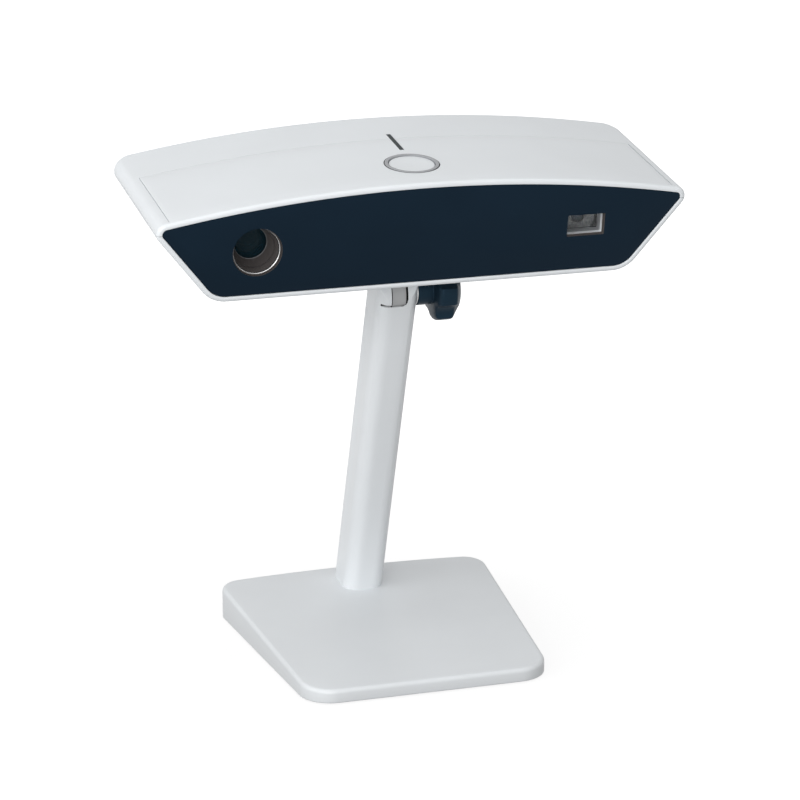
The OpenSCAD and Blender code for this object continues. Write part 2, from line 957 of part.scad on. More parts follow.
module projector_lens() {
  color("darkslategray") at_head() translate([projector_x, 0, axis_z]) difference() {
    bar_y(plens_y0, engine_y0, plens_r);
    bar_y(plens_y0 - 1, plens_y0 + plens_cup, plens_r - plens_rim);
  }
}

module window_bezel() {
  color("silver") at_projector() difference() {
    box([-window_w / 2, 2 * panel_back, -window_h / 2], [window_w / 2, bezel_l, window_h / 2]);
    box([-window_w / 2 + bezel_wall, -1, -window_h / 2 + bezel_wall],
        [window_w / 2 - bezel_wall, bezel_l + 1, window_h / 2 - bezel_wall]);
  }
}

module window_glass() {
  color("lightblue") at_projector() box(
    [-window_w / 2 + bezel_wall, bezel_l - wglass_t, -window_h / 2 + bezel_wall],
    [window_w / 2 - bezel_wall, bezel_l, window_h / 2 - bezel_wall]);
}

module heat_sink() {
  y0 = engine_y0 + engine_l;
  y1 = rear_y - head_wall - sink_rear_gap;
  z0 = bench_top + sink_rise;
  z1 = engine_top - sink_rise;
  fin_step = (sink_w - sink_fin_t) / (sink_fins - 1);
  color("silver") at_head() translate([projector_x - sink_w / 2, 0, 0]) {
    box([0, y0, z0], [sink_w, y0 + sink_base_t, z1]);
    for (i = [0 : sink_fins - 1])
      box([i * fin_step, y0 + sink_base_t - eps, z0], [i * fin_step + sink_fin_t, y1, z1]);
  }
}

// ---------- electronics ----------

module main_board() {
  color("seagreen") at_head() {
    box([main_x0, main_y0, main_z], [main_x1, main_y1, main_top]);
    box([chip_x, chip_y, main_top - eps], [chip_x + chip_w, chip_y + chip_w, main_top + chip_t]);
    box([coil_x, chip_y, main_top - eps], [coil_x + coil_w, chip_y + coil_w, main_top + coil_t]);
  }
}

module board_posts() {
  color("goldenrod") at_head() for (x = main_post_x, y = main_post_y)
    translate([x, y, floor_z]) cylinder(r = post_r, h = main_z - floor_z, $fn = 36);
}

module power_socket() {
  color("darkslategray") at_head() translate([power_x, 0, main_top + power_h / 2]) {
    difference() {
      box([-power_w / 2, socket_y1 - power_l, -power_h / 2], [power_w / 2, socket_y1, power_h / 2]);
      bar_y(socket_y1 - power_l + jack_floor, socket_y1 + 1, jack_r);
    }
    bar_y(socket_y1 - power_l + eps, socket_y1 - pin_sink, jack_pin_r);
  }
}

module usb_socket() {
  color("silver") at_head() translate([usb_x, 0, main_top + usb_h / 2]) {
    difference() {
      box([-usb_w / 2, socket_y1 - usb_l, -usb_h / 2], [usb_w / 2, socket_y1, usb_h / 2]);
      box([-usb_w / 2 + usb_wall, socket_y1 - usb_l + jack_floor, -usb_h / 2 + usb_wall],
          [usb_w / 2 - usb_wall, socket_y1 + 1, usb_h / 2 - usb_wall]);
    }
    box([-usb_tongue_w / 2, socket_y1 - usb_l + eps, -usb_tongue_h / 2],
        [usb_tongue_w / 2, socket_y1 - pin_sink, usb_tongue_h / 2]);
  }
}

// ---------- fan ----------

module at_fan() {
  at_head() translate([fan_x, 0, fan_z]) children();
}

module fan_frame() {
  color("dimgray") at_fan() {
    difference() {
      box([-fan_size / 2, fan_y0, -fan_size / 2], [fan_size / 2, fan_y1, fan_size / 2]);
      bar_y(fan_y0 - 1, fan_y1 + 1, fan_bore_r);
    }
    intersection() {
      for (a = [0, 60, 120]) rotate([0, a, 0])
        box([-fan_size, fan_y1 - fan_strut_t, -fan_strut_w / 2], [fan_size, fan_y1, fan_strut_w / 2]);
      bar_y(fan_y0, fan_y1, fan_bore_r + fan_gap);
    }
    bar_y(fan_y0 + fan_gap, fan_y1 - eps, fan_pin_r);
  }
}

module fan_rotor() {
  color("black") at_fan() difference() {
    union() {
      bar_y(fan_y0 + fan_gap, fan_y1 - fan_strut_t - fan_gap, fan_hub_r);
      for (i = [0 : fan_blades - 1]) rotate([0, i * 360 / fan_blades, 0])
        intersection() {
          translate([0, (fan_y0 + fan_y1 - fan_strut_t) / 2, 0]) rotate([0, 0, blade_pitch])
            box([-blade_t / 2, -fan_t / 2, fan_hub_r - blade_t], [blade_t / 2, fan_t / 2, fan_size]);
          bar_y(fan_y0 + 2 * fan_gap, fan_y1 - fan_strut_t - 2 * fan_gap, fan_tip_r);
        }
    }
    bar_y(fan_y0, fan_y1, fan_pin_r + running_fit);
  }
}

// ---------- button and light ----------

module at_button() {
  at_head() translate([0, button_y, 0]) children();
}

module button_surround() {
  color("gray") at_button() difference() {
    translate([0, 0, cup_floor_z]) cylinder(r = surround_r, h = crown_z + surround_proud - cup_floor_z);
    translate([0, 0, cup_floor_z + cup_floor_t])
      cylinder(r = cup_inner_r, h = cup_depth + eps + surround_proud);
    cylinder(r = stem_r + stem_gap, h = big);
  }
}

module power_button() {
  color("whitesmoke") at_button() {
    translate([0, 0, button_top - button_t]) cylinder(r = button_r, h = button_t);
    translate([0, 0, stem_end]) cylinder(r = stem_r, h = button_top - stem_end - stem_root);
  }
}

module button_switch() {
  color("darkslategray") at_button() {
    difference() {
      box([-switch_w / 2, -switch_w / 2, cup_floor_z - switch_t], [switch_w / 2, switch_w / 2, cup_floor_z]);
      translate([0, 0, switch_top]) cylinder(r = switch_well_r, h = cup_depth);
    }
  }
}

module status_light() {
  color("darkslategray") at_head()
    box([light_x - light_w / 2, light_y0, crown_z - light_depth],
        [light_x + light_w / 2, light_y0 + light_l, crown_z - light_sink]);
}

base_shell();
base_weight();
base_cover();
base_screws();
grip_pad();
column();
foot_block();
column_bolts();
clamp_cheek();
cheek_pin();
pivot_bolt();
pivot_cap();
friction_washers();
knob_washer();
clamp_knob();
knob_insert();
head_bracket();
bracket_screws();
lower_shell();
upper_shell();
top_cover();
front_panel();
shell_screws();
optical_bench();
bench_posts();
camera_holder();
camera_barrel();
camera_board();
lens_ring();
lens_glass();
projector_engine();
projector_lens();
window_bezel();
window_glass();
heat_sink();
main_board();
board_posts();
power_socket();
usb_socket();
fan_frame();
fan_rotor();
button_surround();
power_button();
button_switch();
status_light();
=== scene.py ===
import bpy
import bmesh
import json
from math import sin, cos, tan, atan, asin, sqrt, radians, degrees, pi
from mathutils import Matrix, Vector

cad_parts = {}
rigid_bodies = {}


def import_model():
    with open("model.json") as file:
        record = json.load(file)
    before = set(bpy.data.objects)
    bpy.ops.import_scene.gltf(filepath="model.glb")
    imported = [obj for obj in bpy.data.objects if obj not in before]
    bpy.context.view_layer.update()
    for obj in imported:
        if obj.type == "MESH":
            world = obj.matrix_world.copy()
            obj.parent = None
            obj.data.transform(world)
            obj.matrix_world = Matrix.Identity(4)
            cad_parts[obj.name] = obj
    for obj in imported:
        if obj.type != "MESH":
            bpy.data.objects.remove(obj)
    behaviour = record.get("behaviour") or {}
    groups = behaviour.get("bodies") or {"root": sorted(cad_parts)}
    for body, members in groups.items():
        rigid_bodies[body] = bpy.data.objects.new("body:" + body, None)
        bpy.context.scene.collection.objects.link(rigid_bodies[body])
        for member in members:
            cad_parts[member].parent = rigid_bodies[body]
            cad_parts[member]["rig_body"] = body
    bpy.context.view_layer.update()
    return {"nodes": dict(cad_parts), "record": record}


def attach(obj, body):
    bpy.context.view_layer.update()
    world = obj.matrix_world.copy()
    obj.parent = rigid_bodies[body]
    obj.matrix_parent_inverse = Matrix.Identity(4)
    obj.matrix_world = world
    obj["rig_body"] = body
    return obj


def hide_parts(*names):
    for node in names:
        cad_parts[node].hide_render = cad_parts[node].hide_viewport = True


# Desktop 3D scanner: a wide head with a camera and a projector, on a leaning column over a wedge base.
# Shapes are drawn in millimetres in their own frame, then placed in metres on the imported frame.
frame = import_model()
nodes = frame["nodes"]
slotOf = {part["node"]: part["material_slot"] for part in frame["record"]["subparts"]}
print("frame loaded:", len(nodes), "nodes")

base = {
    "rearWidth": 178, "frontWidth": 152, "depth": 176, "rearHeight": 21.8, "frontHeight": 9.4, "rearBow": 5,
    "frontCorner": 20, "rearCorner": 14, "bottom": 1, "edgeRound": 2.6, "footRound": 0.8,
    "footSetback": 23.5, "coverSeat": 3, "coverDeep": 2.2,
}
joint = {"y": -8, "z": 229, "headPitch": 7}
baseSlope = atan((base["rearHeight"] - base["frontHeight"]) / base["depth"])
footY = base["depth"] / 2 - base["footSetback"]
footZ = base["frontHeight"] + (footY + base["depth"] / 2) * tan(baseSlope)
columnLean = atan((footY - joint["y"]) / (joint["z"] - footZ))
millimetre = 0.001
atDesk = Matrix.Scale(millimetre, 4)
atJoint = atDesk @ Matrix.Translation((0, joint["y"], joint["z"]))
atHead = atJoint @ Matrix.Rotation(radians(joint["headPitch"]), 4, "X")
atColumn = atJoint @ Matrix.Rotation(columnLean, 4, "X")

# tone is the base colour, drift its slow change over the part, grain is (scale, strength, depth in mm)
finishSettings = {
    "shell_white": {"tone": (0.735, 0.763, 0.785), "drift": 0.018, "roughness": (0.4, 0.48),
                    "grain": (2600, 0.18, 0.04)},
    "stand_white": {"tone": (0.735, 0.76, 0.78), "drift": 0.02, "roughness": (0.34, 0.42),
                    "grain": (1700, 0.2, 0.05)},
    "panel_navy": {"tone": (0.0035, 0.008, 0.0135), "drift": 0.12, "roughness": (0.06, 0.09),
                   "grain": (900, 0.02, 0.01), "specular": 0.166, "specularTint": (0.3, 0.6, 1.0)},
    "knob_navy": {"tone": (0.009, 0.021, 0.034), "drift": 0.12, "roughness": (0.34, 0.42),
                  "grain": (2200, 0.12, 0.03), "specular": 0.16, "specularTint": (0.4, 0.7, 1.0)},
    "surround_grey": {"tone": (0.3, 0.31, 0.325), "drift": 0.03, "roughness": (0.36, 0.42),
                      "grain": (2400, 0.15, 0.03)},
    # painted shade: the grey of the tongue's front, which sits back in shade under the head
    "bracket_painted_shade": {"tone": (0.4, 0.405, 0.41), "drift": 0.03, "roughness": (0.4, 0.48),
                     "grain": (1700, 0.2, 0.05)},
    "dark_plastic": {"tone": (0.015, 0.015, 0.016), "drift": 0.2, "roughness": (0.45, 0.55),
                     "grain": (2000, 0.3, 0.05)},
    "light_dark": {"tone": (0.032, 0.04, 0.043), "drift": 0.08, "roughness": (0.42, 0.5),
                   "grain": (1500, 0.06, 0.02), "specular": 0.1},
    "ring_metal": {"tone": (0.6, 0.6, 0.6), "drift": 0.06, "roughness": (0.2, 0.3),
                   "grain": (1800, 0.1, 0.02), "metallic": 1.0},
    "dark_metal": {"tone": (0.036, 0.036, 0.037), "drift": 0.15, "roughness": (0.34, 0.44),
                   "grain": (2200, 0.15, 0.03), "metallic": 1.0},
    "aluminium": {"tone": (0.64, 0.65, 0.66), "drift": 0.06, "roughness": (0.3, 0.42),
                  "grain": (1400, 0.2, 0.04), "metallic": 1.0},
    "steel": {"tone": (0.52, 0.52, 0.53), "drift": 0.08, "roughness": (0.26, 0.36),
              "grain": (1600, 0.15, 0.03), "metallic": 1.0},
    "iron": {"tone": (0.06, 0.06, 0.062), "drift": 0.2, "roughness": (0.6, 0.75), "grain": (900, 0.5, 0.2)},
    "brass": {"tone": (0.6, 0.45, 0.2), "drift": 0.08, "roughness": (0.25, 0.35),
              "grain": (1500, 0.1, 0.02), "metallic": 1.0},
    "rubber": {"tone": (0.02, 0.02, 0.021), "drift": 0.2, "roughness": (0.75, 0.88),
               "grain": (1200, 0.5, 0.1)},
    "cover_grey": {"tone": (0.175, 0.18, 0.185), "drift": 0.07, "roughness": (0.45, 0.55),
                   "grain": (1500, 0.25, 0.06)},
    "board_green": {"tone": (0.016, 0.085, 0.042), "drift": 0.2, "roughness": (0.3, 0.4),
                    "grain": (700, 0.2, 0.06)},
    "blackened": {"tone": (0.08, 0.072, 0.07), "drift": 0.25, "roughness": (0.5, 0.62),
                  "grain": (1500, 0.3, 0.05), "specular": 0.25},
    # painted shade: a near-black finish laid on faces in narrow gaps and holes, where shade falls
    "shadow_gap": {"tone": (0.02, 0.02, 0.021), "drift": 0.2, "roughness": (0.6, 0.7),
                   "grain": (1500, 0.3, 0.05), "specular": 0.1},
    "lens_collar": {"tone": (0.085, 0.088, 0.088), "drift": 0.6, "driftScale": 700, "roughness": (0.45, 0.6),
                    "grain": (1500, 0.5, 0.1)},
}
glassSettings = {
    "lens_glass": {"tint": (0.06, 0.15, 0.2), "ior": 1.12, "roughness": (0.02, 0.04), "clear": 0.92,
                   "driftScale": 120},
    "window_glass": {"tint": (0.94, 0.96, 0.97), "ior": 1.15, "roughness": (0.015, 0.03), "clear": 0.97,
                     "driftScale": 120},
}


def newFinish(name):
    material = bpy.data.materials.new(name)
    material.use_nodes = True
    return material, material.node_tree, material.node_tree.nodes["Principled BSDF"]


def grainNoise(tree, scale, detail=2.0):
    place = tree.nodes.new("ShaderNodeTexCoord")
    noise = tree.nodes.new("ShaderNodeTexNoise")
    noise.inputs["Scale"].default_value = scale
    noise.inputs["Detail"].default_value = detail
    tree.links.new(place.outputs["Object"], noise.inputs["Vector"])
    return noise.outputs["Fac"]


def spread(tree, source, low, high):
    lift = tree.nodes.new("ShaderNodeMapRange")
    lift.inputs["To Min"].default_value = low
    lift.inputs["To Max"].default_value = high
    tree.links.new(source, lift.inputs["Value"])
    return lift.outputs["Result"]


def toneDrift(tree, source, tone, drift):
    ramp = tree.nodes.new("ShaderNodeValToRGB")
    for stop, place, change in zip(ramp.color_ramp.elements, (0.3, 0.7), (1 - drift, 1 + drift)):
        stop.position = place
        stop.color = (*(level * change for level in tone), 1)
    tree.links.new(source, ramp.inputs["Fac"])
    return ramp.outputs["Color"]


def mouldedFinish(name, settings):
    # a fine even grain in the surface, with a slow drift of tone and gloss over the part
    material, tree, shader = newFinish(name)
    grainScale, strength, depth = settings["grain"]
    slow = grainNoise(tree, settings.get("driftScale", 18))
    tree.links.new(toneDrift(tree, slow, settings["tone"], settings["drift"]), shader.inputs["Base Color"])
    tree.links.new(spread(tree, slow, *settings["roughness"]), shader.inputs["Roughness"])
    shader.inputs["Metallic"].default_value = settings.get("metallic", 0)
    shader.inputs["Specular IOR Level"].default_value = settings.get("specular", 0.5)
    shader.inputs["Specular Tint"].default_value = (*settings.get("specularTint", (1, 1, 1)), 1)
    bump = tree.nodes.new("ShaderNodeBump")
    bump.inputs["Strength"].default_value = strength
    bump.inputs["Distance"].default_value = depth * millimetre
    tree.links.new(grainNoise(tree, grainScale), bump.inputs["Height"])
    tree.links.new(bump.outputs["Normal"], shader.inputs["Normal"])
    return material


def coatedGlass(name, settings):
    material, tree, shader = newFinish(name)
    slow = grainNoise(tree, settings["driftScale"])
    tree.links.new(spread(tree, slow, *settings["roughness"]), shader.inputs["Roughness"])
    shader.inputs["Base Color"].default_value = (*settings["tint"], 1)
    shader.inputs["Transmission Weight"].default_value = settings["clear"]
    shader.inputs["IOR"].default_value = settings["ior"]
    return material


finishes = {name: mouldedFinish(name + "Finish", settings) for name, settings in finishSettings.items()}
for name, settings in glassSettings.items():
    finishes[name] = coatedGlass(name + "Finish", settings)
print("finishes made:", len(finishes))


# mesh helpers, all in millimetres until a piece is placed
welding = {"drawn": 0.0008, "carried": 0.000002, "flatWithin": 0.6}  # the carried solids are in metres


def loftRings(rings, capped=True):
    # an uncapped loft joins its last ring to its first, so it makes a hollow collar
    bm = bmesh.new()
    made = [[bm.verts.new(point) for point in ring] for ring in rings]
    count = len(rings[0])
    for first, second in zip(made, made[1:] if capped else made[1:] + made[:1]):
        for i in range(count):
            bm.faces.new([first[i], first[(i + 1) % count], second[(i + 1) % count], second[i]])
    if capped:
        bm.faces.new(list(reversed(made[0])))
        bm.faces.new(made[-1])
    return bm


def turned(profile, steps=96, capped=True):
    # profile is (radius, height), spun about Z
    turns = [2 * pi * i / steps for i in range(steps)]
    return loftRings([[(r * cos(t), r * sin(t), height) for t in turns] for r, height in profile], capped)


def arcPoints(centre, radius, start, end, steps=5):
    turns = [radians(start + (end - start) * i / steps) for i in range(steps + 1)]
    return [(centre[0] + radius * cos(turn), centre[1] + radius * sin(turn)) for turn in turns]


def quarterTurns(steps):
    return [radians(90 * k / steps) for k in range(steps + 1)]


def boxOutline(x0, y0, x1, y1, corner, steps=5):
    return (arcPoints((x1 - corner, y0 + corner), corner, -90, 0, steps)
            + arcPoints((x1 - corner, y1 - corner), corner, 0, 90, steps)
            + arcPoints((x0 + corner, y1 - corner), corner, 90, 180, steps)
            + arcPoints((x0 + corner, y0 + corner), corner, 180, 270, steps))


def boxAbout(x, y, width, height, corner, steps=5):
    return boxOutline(x - width / 2, y - height / 2, x + width / 2, y + height / 2, corner, steps)


def circleOutline(x, y, radius, steps=72):
    return arcPoints((x, y), radius, 0, 360, steps)[:-1]


def prism(outline, low, high, axis="Z"):
    if axis == "Y":
        return loftRings([[(x, level, z) for x, z in outline] for level in (low, high)])
    return loftRings([[(x, y, level) for x, y in outline] for level in (low, high)])


def addPiece(name, bm, place, body, slot, stands, smooth=32, edge=0.0):
    bmesh.ops.remove_doubles(bm, verts=bm.verts, dist=welding["drawn"])
    bmesh.ops.recalc_face_normals(bm, faces=bm.faces)
    mesh = bpy.data.meshes.new(name)
    bm.to_mesh(mesh)
    bm.free()
    mesh.transform(place)
    return finishPiece(name, mesh, body, slot, stands, smooth, edge)


def shadeSmooth(mesh, smooth=32):
    mesh.polygons.foreach_set("use_smooth", [True] * len(mesh.polygons))
    mesh.set_sharp_from_angle(angle=radians(smooth))


def softenEdges(piece, width, limit):
    soften = piece.modifiers.new("edge", "BEVEL")
    soften.width = width
    soften.segments = 2
    soften.limit_method = "ANGLE"
    soften.angle_limit = limit


def finishPiece(name, mesh, body, slot, stands, smooth=32, edge=0.0):
    piece = bpy.data.objects.new(name, mesh)
    bpy.context.scene.collection.objects.link(piece)
    mesh.materials.clear()
    mesh.materials.append(finishes[slot])
    shadeSmooth(mesh, smooth)
    if edge:
        softenEdges(piece, edge * millimetre, radians(smooth))
    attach(piece, body)
    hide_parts(*stands)
    return piece


def cutAway(piece, parts, place):
    # cuts the parts' solids out of the piece for good, and breaks its edges again afterwards
    whole = bmesh.new()
    for part in parts:
        spare = bpy.data.meshes.new("cutterPart")
        bmesh.ops.recalc_face_normals(part, faces=part.faces)
        part.to_mesh(spare)
        part.free()
        whole.from_mesh(spare)
        bpy.data.meshes.remove(spare)
    mesh = bpy.data.meshes.new("cutter")
    whole.to_mesh(mesh)
    whole.free()
    mesh.transform(place)
    cutter = bpy.data.objects.new("cutter", mesh)
    bpy.context.scene.collection.objects.link(cutter)
    kept = [(edge.width, edge.angle_limit) for edge in piece.modifiers]
    piece.modifiers.clear()
    cut = piece.modifiers.new("cut", "BOOLEAN")
    cut.operation = "DIFFERENCE"
    cut.solver = "EXACT"
    cut.object = cutter
    bpy.context.view_layer.update()
    done = bpy.data.meshes.new_from_object(piece.evaluated_get(bpy.context.evaluated_depsgraph_get()))
    piece.modifiers.remove(cut)
    old = piece.data
    piece.data = done
    bpy.data.meshes.remove(old)
    bpy.data.objects.remove(cutter)
    shadeSmooth(piece.data)
    for width, limit in kept:
        softenEdges(piece, width, limit)


def refinish(piece, slot, place, isThere):
    # gives a second finish to the faces whose middle, in the piece's own millimetres, passes the test
    piece.data.materials.append(finishes[slot])
    back = place.inverted()
    for face in piece.data.polygons:
        if isThere(back @ face.center):
            face.material_index = len(piece.data.materials) - 1


def fromNode(name, edge, smooth=32):
    # a carried-over solid: welded, its flat faces joined again and its edges broken
    source = nodes[name]
    bm = bmesh.new()
    bm.from_mesh(source.data)
    bmesh.ops.remove_doubles(bm, verts=bm.verts, dist=welding["carried"])
    flat = radians(welding["flatWithin"])
    bmesh.ops.dissolve_limit(bm, angle_limit=flat, verts=bm.verts, edges=bm.edges)
    mesh = bpy.data.meshes.new(name + "Piece")
    bm.to_mesh(mesh)
    bm.free()
    return finishPiece(name + "Piece", mesh, source["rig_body"], slotOf[name], (name,), smooth, edge)


# the base: a wedge with a bowed back, a soft upper edge and a thin shadow gap over its pad
baseTaper = atan((base["rearWidth"] - base["frontWidth"]) / 2 / base["depth"])
bowRadius = ((base["rearWidth"] / 2) ** 2 + base["rearBow"] ** 2) / (2 * base["rearBow"])


def between(start, end, count):
    return [(start[0] + (end[0] - start[0]) * k / count, start[1] + (end[1] - start[1]) * k / count)
            for k in range(1, count)]


def baseOutline(inset):
    halfDepth = base["depth"] / 2
    bowY = halfDepth - bowRadius

    def sideX(y, margin):
        return base["frontWidth"] / 2 + (y + halfDepth) * tan(baseTaper) - margin / cos(baseTaper)

    frontRadius, rearRadius = base["frontCorner"], base["rearCorner"]
    frontCentre = (sideX(-halfDepth + frontRadius, frontRadius), -halfDepth + frontRadius)
    rearX = sideX(halfDepth - base["rearBow"] - rearRadius, rearRadius)
    rearReach = sqrt((bowRadius - rearRadius) ** 2 - rearX ** 2)
    rearTurn = degrees(atan(rearReach / rearX))
    sideTurn = -degrees(baseTaper)
    frontArc = arcPoints(frontCentre, frontRadius - inset, -90, sideTurn, 14)
    rearArc = arcPoints((rearX, bowY + rearReach), rearRadius - inset, sideTurn, rearTurn, 14)
    right = [(frontCentre[0] * k / 6, -halfDepth + inset) for k in range(6)] + frontArc
    right += between(frontArc[-1], rearArc[0], 8) + rearArc
    right += arcPoints((0, bowY), bowRadius - inset, rearTurn, 90, 16)[1:]
    return right + [(-x, y) for x, y in reversed(right[1:-1])]


def topOfBase(y):
    return base["frontHeight"] + (y + base["depth"] / 2) * tan(baseSlope)


def makeBase():
    edge, foot, bottom = base["edgeRound"], base["footRound"], base["bottom"]
    inner = baseOutline(base["coverSeat"])
    rings = [[(x, y, bottom + base["coverDeep"]) for x, y in inner], [(x, y, bottom) for x, y in inner]]
    for turn in quarterTurns(4):
        outline = baseOutline(foot * (1 - sin(turn)))
        rings.append([(x, y, bottom + foot * (1 - cos(turn))) for x, y in outline])
    for turn in quarterTurns(10):
        outline = baseOutline(edge * (1 - cos(turn)))
        rings.append([(x, y, topOfBase(y) - edge * (1 - sin(turn))) for x, y in outline])
    addPiece("baseShellPiece", loftRings(rings), atDesk, "stand", "stand_white", ("base_shell",), smooth=40)


makeBase()
print("base made")

# the head: its outline seen from the front, then a cup with rounded rim and rear edges
head = {
    "halfWidth": 160, "bottom": 25.7, "tipHeight": 70, "tipDrop": 1.6, "crown": 91.2, "archRadius": 848,
    "frontY": -60, "rearY": 57, "sideAngle": 52, "frontLean": 3, "lowRound": 18, "tipRound": 6.45,
    "rearPlanRound": 10, "wall": 3.3, "rimRound": 2.2, "rimInner": 0.35, "rearRound": 2.2, "seam": 0.3,
}
sideRise = head["tipHeight"] - head["bottom"] - head["tipDrop"]
lowX = head["halfWidth"] - sideRise / tan(radians(head["sideAngle"]))
lowCentreX = lowX - head["lowRound"] * tan(radians(head["sideAngle"] / 2))
archCentreZ = head["crown"] - head["archRadius"]


def archZ(x, drop=0.0):
    return archCentreZ + sqrt((head["archRadius"] - drop) ** 2 - x * x)


def headOutline(inset, pullIn=0.0):
    tipX = head["halfWidth"] - head["tipRound"] - pullIn
    reach = head["archRadius"] - head["tipRound"]
    sideTurn = head["sideAngle"] - 90
    archTurn = 90 - degrees(asin(tipX / reach))
    lowX0 = lowCentreX - pullIn
    low = arcPoints((lowX0, head["bottom"] + head["lowRound"]), head["lowRound"] - inset, -90, sideTurn, 12)
    tipCentre = (tipX, archCentreZ + sqrt(reach ** 2 - tipX ** 2))
    tip = arcPoints(tipCentre, max(head["tipRound"] - inset, 0.2), sideTurn, archTurn, 16)
    right = [(lowX0 * k / 8, head["bottom"] + inset) for k in range(8)]
    right += low + between(low[-1], tip[0], 6) + tip
    right += arcPoints((0, archCentreZ), head["archRadius"] - inset, archTurn, 90, 36)[1:]
    return right + [(-x, z) for x, z in reversed(right[1:-1])]


def frontRing(inset, behind):
    lean = tan(radians(head["frontLean"]))
    return [(x, head["frontY"] - (z - head["tipHeight"]) * lean + behind, z) for x, z in headOutline(inset)]


def planPull(planRadius, ahead):
    # how far the plan corners round in towards the back
    return planRadius - sqrt(max(planRadius ** 2 - max(planRadius - ahead, 0) ** 2, 0))


def rearRing(inset, ahead, planRadius):
    return [(x, head["rearY"] - ahead, z) for x, z in headOutline(inset, planPull(planRadius, ahead))]


def rearInner(ahead):
    wall = head["wall"]
    pullIn = planPull(head["rearPlanRound"] - wall, max(ahead - wall, 0))
    return [(x, head["rearY"] - ahead, z) for x, z in headOutline(wall, pullIn)]


def headCup():
    # outer skin from the back to the rim, round the rim and back inside to the inner back wall
    plan, back, rim, wall = head["rearPlanRound"], head["rearRound"], head["rimRound"], head["wall"]
    lip = head["rimInner"]
    rings = []
    for turn in quarterTurns(6):
        rings.append(rearRing(back * (1 - sin(turn)), back * (1 - cos(turn)), plan))
    rings += [rearRing(0, plan * share, plan) for share in (0.3, 0.4, 0.52, 0.66, 0.82, 1)]
    rings.append(frontRing(0, 12))
    for turn in quarterTurns(8):
        rings.append(frontRing(rim * (1 - cos(turn)), rim * (1 - sin(turn))))
    for turn in quarterTurns(3):
        rings.append(frontRing(wall - lip * (1 - sin(turn)), lip * (1 - cos(turn))))
    rings.append(frontRing(wall, 8))
    rings += [rearInner(ahead) for ahead in (plan, plan * 0.82, plan * 0.66, plan * 0.52, plan * 0.4, wall)]
    return loftRings(rings)


def keepSide(bm, level, above):
    cut = bmesh.ops.bisect_plane(bm, geom=bm.verts[:] + bm.edges[:] + bm.faces[:], plane_co=(0, 0, level),
                                 plane_no=(0, 0, 1), clear_inner=above, clear_outer=not above)
    rim = [part for part in cut["geom_cut"] if isinstance(part, bmesh.types.BMEdge)]
    bmesh.ops.triangle_fill(bm, use_beauty=True, use_dissolve=True, edges=rim)
    return bm


cover = {"front": -57, "back": 16.5, "halfWidth": 152, "thick": 2, "edge": 0.32, "sideGap": 0.4,
         "backGap": 0.06, "frontGap": 0.12}
button = {"y": -27.5, "hole": 16.5, "surround": 16.0, "radius": 13.55, "gap": 0.3}
light = {"x": 1.5, "width": 2.9, "front": -4, "length": 28.8, "depth": 6, "sink": 0.2, "gap": 0.05,
         "corner": 0.15, "edge": 0.12}
optics = {"cameraX": -100.5, "cameraZ": 55.4, "projectorX": 98.8, "z": 57, "ring": 14.7, "windowWidth": 23,
          "windowHeight": 13.3, "windowCorner": 0.6, "gap": 0.05}
shellScrews = {"places": [(62, -23), (-62, -23), (104, 44), (-104, 44)], "wellRadius": 3.4, "wellTop": 29.6}
tongue = {"left": -4.4, "right": 4.8, "halfDepth": 11.1, "gap": 0.4}
sockets = [{"x": -44, "corner": 1.2}, {"x": -14, "corner": 0.8}]
socketHole = {"width": 12.4, "z": 50.1, "height": 11}
fanVents = {"x": 50, "count": 9, "z": 49.4, "height": 32}
airVents = {"x": -112, "count": 7, "z": 57, "height": 20}
vent = {"pitch": 4.6, "width": 2.4}
# how far the cutting blocks reach past the walls they open
cutReach = {"above": 99, "underButton": 78, "below": 20, "slotTop": 32,
            "front": (-70, -50), "rear": (50, 60)}


def ventSlots(group):
    places = [group["x"] + (i - (group["count"] - 1) / 2) * vent["pitch"] for i in range(group["count"])]
    back = head["rearY"]
    return [prism(boxAbout(x, group["z"], vent["width"], group["height"], vent["width"] / 2 - 0.01),
                  back - head["wall"] - 1, back + 1, "Y") for x in places]


def lightOutline(inset):
    return boxAbout(light["x"], light["front"] + light["length"] / 2, light["width"] - 2 * inset,
                    light["length"] - 2 * inset, light["corner"], 2)


def lightCut():
    return prism(lightOutline(0), head["crown"] - light["depth"], cutReach["above"])


def buttonCut():
    hole = circleOutline(0, button["y"], button["hole"], 128)
    return prism(hole, cutReach["underButton"], cutReach["above"])


def buttonWall(point):
    # the wall of the button's hole, which lies in shade and is painted near-black as that shade
    return abs(sqrt(point.x ** 2 + (point.y - button["y"]) ** 2) - button["hole"]) < 0.05 and point.z > 80


def makeLowerShell():
    cup = keepSide(headCup(), head["tipHeight"] - head["seam"] / 2, False)
    shell = addPiece("lowerShellPiece", cup, atHead, "head", "shell_white", ("lower_shell",))
    cuts = ventSlots(fanVents) + ventSlots(airVents)
    for socket in sockets:
        outline = boxAbout(socket["x"], socketHole["z"], socketHole["width"], socketHole["height"],
                           socket["corner"])
        cuts.append(prism(outline, *cutReach["rear"], "Y"))
    gap, half = tongue["gap"], tongue["halfDepth"]
    slot = boxOutline(tongue["left"] - gap, -half - gap, tongue["right"] + gap, half + gap, 1)
    cuts.append(prism(slot, cutReach["below"], cutReach["slotTop"]))
    wells = [circleOutline(x, y, shellScrews["wellRadius"], 48) for x, y in shellScrews["places"]]
    cuts += [prism(well, cutReach["below"], shellScrews["wellTop"]) for well in wells]
    cutAway(shell, cuts, atHead)


